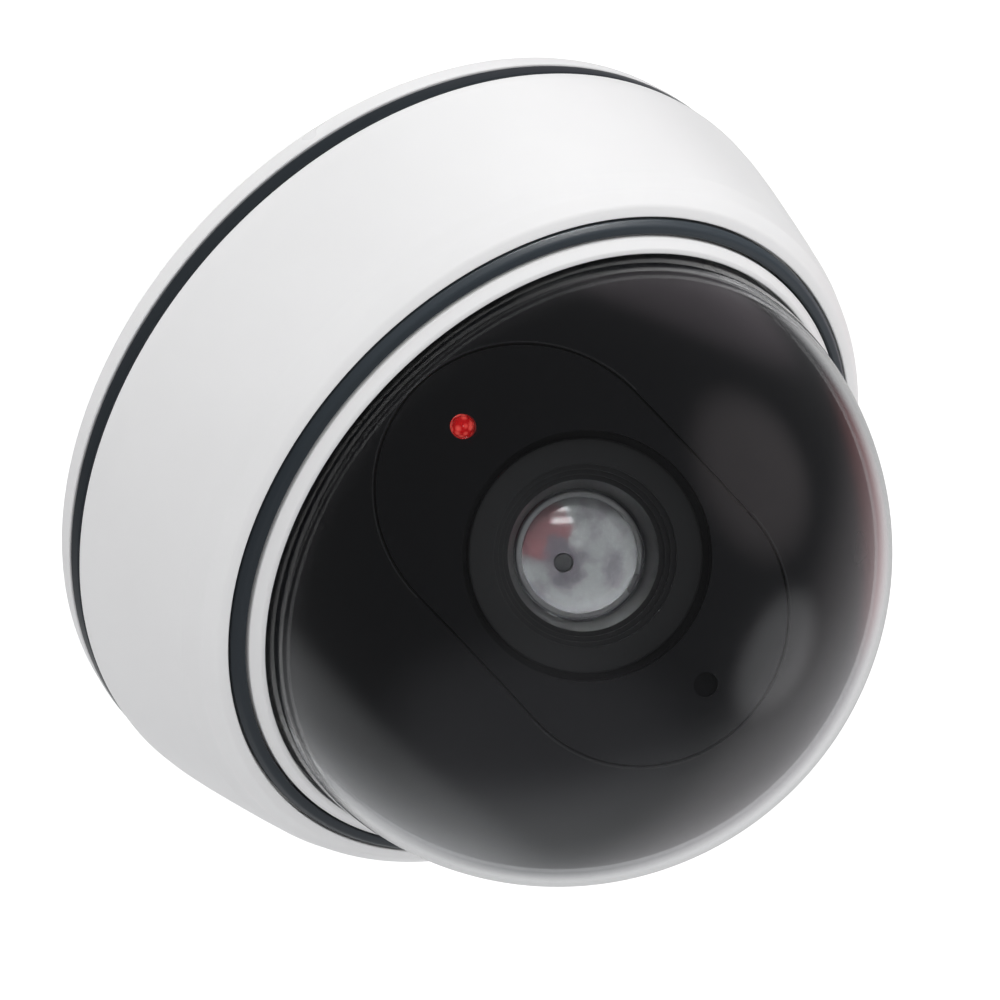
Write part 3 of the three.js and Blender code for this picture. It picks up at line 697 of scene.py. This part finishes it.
def view_axes():
    tilt, turn, roll = (math.radians(v) for v in (VIEW_TILT, VIEW_TURN, VIEW_ROLL))
    flat = Vector((math.cos(turn), math.sin(turn), 0))
    up = Vector((0, 0, 1))
    away = -(math.sin(tilt) * flat + math.cos(tilt) * up)
    along = (up - up.dot(away) * away).normalized()
    across = away.cross(along)
    right = math.cos(roll) * along - math.sin(roll) * across
    down = math.sin(roll) * along + math.cos(roll) * across
    return right, down, away


def camera():
    right, down, away = view_axes()
    place = Vector((0, 0, FOCUS_Z)) - FOCUS[0] * right - FOCUS[1] * down - FOCUS[2] * away
    data = bpy.data.cameras.new("camera")
    data.sensor_width = 36
    data.lens = FIELD * data.sensor_width
    data.clip_start = 0.05
    data.clip_end = 20
    obj = bpy.data.objects.new("camera", data)
    turn = Matrix((right, -down, -away)).transposed().to_4x4()
    obj.matrix_world = Matrix.Translation(place * MM) @ turn
    bpy.context.scene.collection.objects.link(obj)
    bpy.context.scene.camera = obj


def lamp(name, azimuth, elevation, distance, size, power):
    """A soft box aimed at the dome, from a direction in degrees. It leaves no reflection of its own."""
    turn, rise = math.radians(azimuth), math.radians(elevation)
    aim = Vector((math.cos(turn) * math.cos(rise), math.sin(turn) * math.cos(rise), math.sin(rise)))
    data = bpy.data.lights.new(name, "AREA")
    data.shape = "RECTANGLE"
    data.size, data.size_y = size
    data.energy = power
    obj = bpy.data.objects.new(name, data)
    obj.location = Vector((0, 0, DOME_Z * MM)) + aim * distance
    obj.rotation_euler = aim.to_track_quat("Z", "Y").to_euler()
    obj.visible_glossy = False
    obj.visible_transmission = False
    bpy.context.scene.collection.objects.link(obj)
    return obj


def picked_lamp(name, spot, size, power, *receivers):
    """A lamp that answers only to a few pieces, from a direction seen from the camera.

    Its reflection is sampled from those pieces alone, so the dome in front stays clear of it.
    """
    data = bpy.data.lights.new(name, "AREA")
    data.shape = "RECTANGLE"
    data.size, data.size_y = size
    data.energy = power
    data.cycles.use_multiple_importance_sampling = False
    away = from_view(*spot)
    across = (view_axes()[0] - away * away.dot(view_axes()[0])).normalized()
    place = LENS_FRAME @ Vector((0, 0, LENS_RIM * MM)) + away * 0.6
    turn = Matrix((across, away.cross(across), away)).transposed().to_4x4()
    obj = bpy.data.objects.new(name, data)
    obj.matrix_world = Matrix.Translation(place) @ turn
    group = bpy.data.collections.new(name)
    for receiver in receivers:
        group.objects.link(bpy.data.objects[receiver])
    obj.light_linking.receiver_collection = group
    bpy.context.scene.collection.objects.link(obj)


def from_view(right, down, near):
    """A direction in the frame, given as seen from the camera."""
    axes = view_axes()
    return (right * axes[0] + down * axes[1] - near * axes[2]).normalized()


def glow(tree, direction, full, edge, color):
    """A soft patch of the surroundings: full strength at one cosine from its middle, none at another."""
    place = tree.nodes.new("ShaderNodeTexCoord")
    dot = tree.nodes.new("ShaderNodeVectorMath")
    dot.operation = "DOT_PRODUCT"
    dot.inputs[1].default_value = direction
    fade = tree.nodes.new("ShaderNodeMapRange")
    fade.interpolation_type = "SMOOTHERSTEP"
    fade.inputs["From Min"].default_value = edge
    fade.inputs["From Max"].default_value = full
    tint = tree.nodes.new("ShaderNodeVectorMath")
    tint.operation = "SCALE"
    tint.inputs[0].default_value = color
    tree.links.new(place.outputs["Generated"], dot.inputs[0])
    tree.links.new(dot.outputs["Value"], fade.inputs["Value"])
    tree.links.new(fade.outputs["Result"], tint.inputs["Scale"])
    return tint.outputs["Vector"]


def surroundings():
    """What the dome reflects: a dark room with soft pale patches. The camera itself sees plain white."""
    world = bpy.data.worlds.new("studio")
    world.use_nodes = True
    tree = world.node_tree
    patches = [
        (from_view(0.0, 0.0, -1.0), 0.93, 0.85, (0.44, 0.44, 0.44)),
        (from_view(0.25, 0.75, -0.7), 0.98, 0.45, (0.25, 0.255, 0.26)),
        (from_view(-0.55, 0.6, -0.55), 0.97, 0.8, (0.27, 0.275, 0.28)),
        (from_view(0.75, 0.45, -0.7), 0.98, 0.7, (0.21, 0.195, 0.2)),
        (from_view(0.9, 0.42, -0.04), 0.995, 0.94, (0.5, 0.5, 0.51)),
        (from_view(0.92, -0.37, 0.2), 0.99, 0.87, (0.27, 0.24, 0.245)),
        (from_view(0.3, -0.75, -0.5), 0.98, 0.86, (0.17, 0.145, 0.16)),
        (from_view(0.58, -0.06, -0.8), 0.995, 0.95, (0.1, 0.01, 0.01)),
        (from_view(-0.1, 0.95, 0.3), 0.97, 0.6, (0.13, 0.13, 0.14)),
    ]
    total = None
    for patch in patches:
        value = glow(tree, *patch)
        if total is None:
            total = value
            continue
        add = tree.nodes.new("ShaderNodeVectorMath")
        tree.links.new(total, add.inputs[0])
        tree.links.new(value, add.inputs[1])
        total = add.outputs["Vector"]
    room = tree.nodes.new("ShaderNodeVectorMath")
    room.inputs[1].default_value = (0.07, 0.07, 0.073)
    tree.links.new(total, room.inputs[0])
    path = tree.nodes.new("ShaderNodeLightPath")
    pick = tree.nodes.new("ShaderNodeMix")
    pick.data_type = "RGBA"
    pick.inputs["B"].default_value = (0.95, 0.95, 0.95, 1)
    tree.links.new(path.outputs["Is Camera Ray"], pick.inputs["Factor"])
    tree.links.new(room.outputs["Vector"], pick.inputs["A"])
    tree.links.new(pick.outputs["Result"], tree.nodes["Background"].inputs["Color"])
    bpy.context.scene.world = world


def floor_finish():
    """A pale floor that glows a little more towards its edges, so that they meet the white behind."""
    mat = moulded("floor", (0.9, 0.9, 0.9), 0.8, Emission_Color=(1, 1, 1, 1))
    tree = mat.node_tree
    place = tree.nodes.new("ShaderNodeTexCoord")
    reach = tree.nodes.new("ShaderNodeVectorMath")
    reach.operation = "LENGTH"
    fade = tree.nodes.new("ShaderNodeMapRange")
    fade.interpolation_type = "SMOOTHSTEP"
    fade.inputs["From Min"].default_value = 0.5
    fade.inputs["From Max"].default_value = 2.8
    fade.inputs["To Min"].default_value = 0.42
    fade.inputs["To Max"].default_value = 0.86
    tree.links.new(place.outputs["Object"], reach.inputs[0])
    tree.links.new(reach.outputs["Value"], fade.inputs["Value"])
    tree.links.new(fade.outputs["Result"], tree.nodes["Principled BSDF"].inputs["Emission Strength"])
    return mat


def studio():
    """The surroundings, the floor, the soft boxes and the small lamps for the lens, LED and trim."""
    surroundings()
    corner = (FLOOR_HALF, FLOOR_HALF)
    slab = prism(rectangle((-FLOOR_HALF, -FLOOR_HALF), corner), FLOOR_TOP - 20, FLOOR_TOP)
    floor = to_object("floor", slab, floor_finish(), None)
    floor.visible_glossy = False
    floor.visible_transmission = False
    lamp("top", 0, 90, 1.3, (1.6, 1.6), 12.9)
    lamp("key", -138, 22, 1.2, (0.9, 0.7), 4.6)
    lamp("side", 180, 15, 1.3, (0.8, 0.8), 3.6)
    lamp("front", -90, 12, 1.3, (0.8, 0.8), 2.6)
    lamp("fill", -5, 30, 1.3, (0.8, 0.8), 2.0)
    picked_lamp("strip_1", (-0.07, -0.56, 0.83), (0.12, 0.018), 9.0, "lens")
    picked_lamp("strip_2", (-0.04, -0.42, 0.91), (0.16, 0.022), 11.0, "lens")
    picked_lamp("dot", (0.16, -0.12, 0.97), (0.035, 0.035), 1.0, "lens", "led_lamp")
    picked_lamp("gathered", (0.3, 0.2, 0.9), (0.4, 0.4), 1.0, "iris", "lens_rim")
    picked_lamp("trim_glint", (0.0, -0.85, 0.2), (0.9, 0.25), 14.0, "front_trim")
    bpy.context.scene.view_settings.view_transform = "Standard"


housing()
base_plate()
rear_screws()
trim_rings()
bezel()
dome()
liner()
liner_lip()
fascia()
lens_bezel()
front_lens()
lens_inside()
led_lamp()
carry_over()
camera()
studio()
